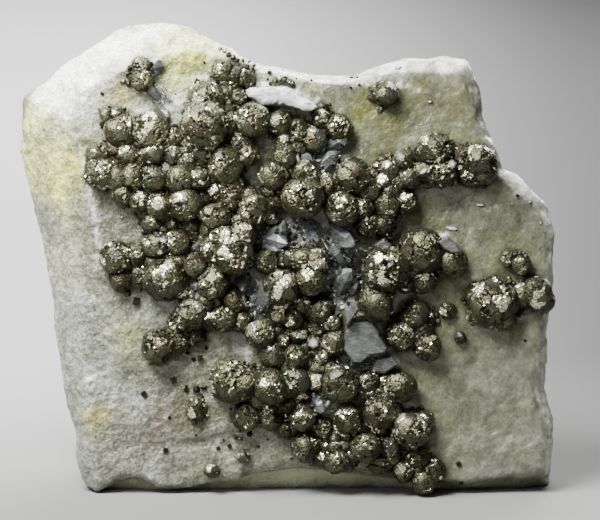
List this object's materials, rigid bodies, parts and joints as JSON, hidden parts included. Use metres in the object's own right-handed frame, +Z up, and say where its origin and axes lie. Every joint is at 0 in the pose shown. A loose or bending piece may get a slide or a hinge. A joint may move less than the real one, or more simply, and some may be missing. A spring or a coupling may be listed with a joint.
{
  "type": "pyrite and quartz specimen",
  "caption": "Upright plate of massive white quartz whose front carries a crust of intergrown brassy pyrite balls and small quartz crystals.",
  "frame": {"origin": "on the flat base, near the middle of the plate's foot", "axes": "+X to the right along the width of the plate as seen from the crusted front, +Y to the back, +Z up"},
  "size_m": [0.0898, 0.0384, 0.0774],
  "materials": {
    "quartz": "granular, translucent",
    "pyrite": "natural crystal faces, dull brassy with bright glints"
  },
  "bodies": {
    "root": {"quartz_matrix": "quartz", "pyrite_crust": "pyrite", "pyrite_group_middle_right": "pyrite", "pyrite_group_lower_right": "pyrite", "pyrite_pair_upper_left": "pyrite", "pyrite_ball_upper_right": "pyrite", "pyrite_pair_right": "pyrite", "pyrite_balls_right": "pyrite", "pyrite_ball_lower_left": "pyrite", "pyrite_bead_lower_left_a": "pyrite", "pyrite_bead_lower_left_b": "pyrite", "pyrite_bead_right_a": "pyrite", "pyrite_bead_right_b": "pyrite"}
  },
  "joints": []
}
